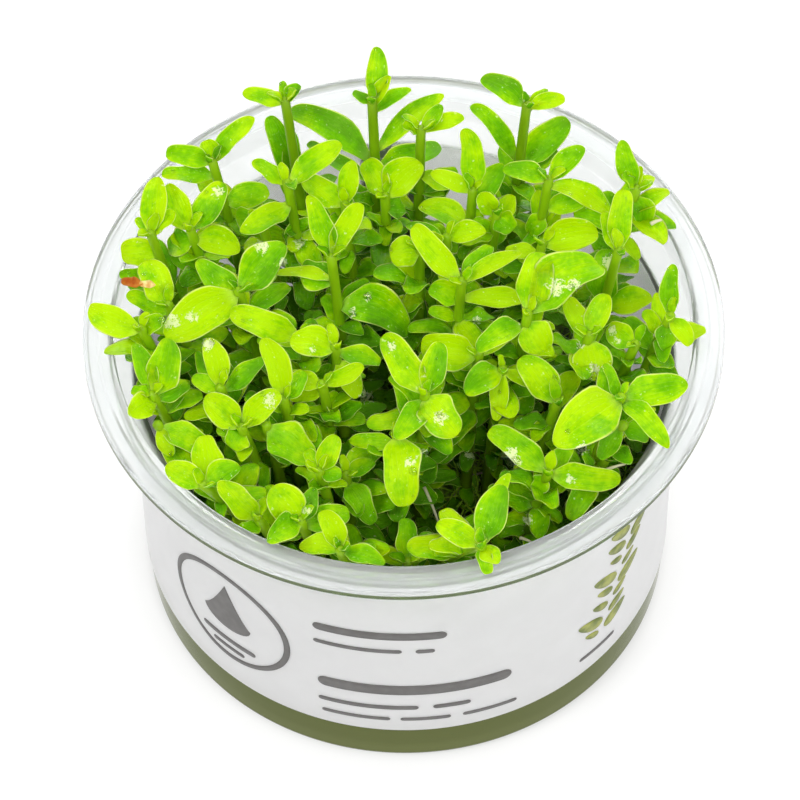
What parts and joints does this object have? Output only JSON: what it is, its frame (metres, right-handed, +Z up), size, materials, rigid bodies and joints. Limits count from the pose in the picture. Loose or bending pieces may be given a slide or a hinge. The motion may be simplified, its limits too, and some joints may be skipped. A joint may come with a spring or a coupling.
{
  "type": "potted lemon bacopa",
  "caption": "Bushy bright green aquarium stem plant growing on a bed of gel in a round clear plastic cup with a paper sleeve.",
  "frame": {"origin": "centre of the cup's underside, on the surface that it stands on", "axes": "+Z up, along the cup's axis; -Y is the side that the picture was taken from; +X to its right"},
  "size_m": [0.1, 0.1, 0.0842],
  "materials": {
    "clear_plastic": "clear, glossy",
    "label_paper": "smooth, semi-gloss",
    "nutrient_gel": "wet, translucent",
    "roots": "wet, fibrous",
    "leaves": "fleshy, waxy, wet in places"
  },
  "bodies": {
    "root": {"cup": "clear_plastic", "label": "label_paper", "growth_gel": "nutrient_gel", "root_mat": "roots", "shoot_01": "leaves", "shoot_02": "leaves", "shoot_03": "leaves", "shoot_04": "leaves", "shoot_05": "leaves", "shoot_06": "leaves", "shoot_07": "leaves", "shoot_08": "leaves", "shoot_09": "leaves", "shoot_10": "leaves", "shoot_11": "leaves", "shoot_12": "leaves", "shoot_13": "leaves", "shoot_14": "leaves", "shoot_15": "leaves", "shoot_16": "leaves", "shoot_17": "leaves", "shoot_18": "leaves", "shoot_19": "leaves", "shoot_20": "leaves", "shoot_21": "leaves", "shoot_22": "leaves", "shoot_23": "leaves", "shoot_24": "leaves", "shoot_25": "leaves", "shoot_26": "leaves", "shoot_27": "leaves", "shoot_28": "leaves", "shoot_29": "leaves", "shoot_30": "leaves", "shoot_31": "leaves", "shoot_32": "leaves", "shoot_33": "leaves", "shoot_34": "leaves", "shoot_35": "leaves", "shoot_36": "leaves", "shoot_37": "leaves", "shoot_38": "leaves", "shoot_39": "leaves", "shoot_40": "leaves", "shoot_41": "leaves", "shoot_42": "leaves", "shoot_43": "leaves", "shoot_44": "leaves", "shoot_45": "leaves", "shoot_46": "leaves", "shoot_47": "leaves", "shoot_48": "leaves", "shoot_49": "leaves", "shoot_50": "leaves", "shoot_51": "leaves", "shoot_52": "leaves", "shoot_53": "leaves", "shoot_54": "leaves", "shoot_55": "leaves"}
  },
  "joints": []
}
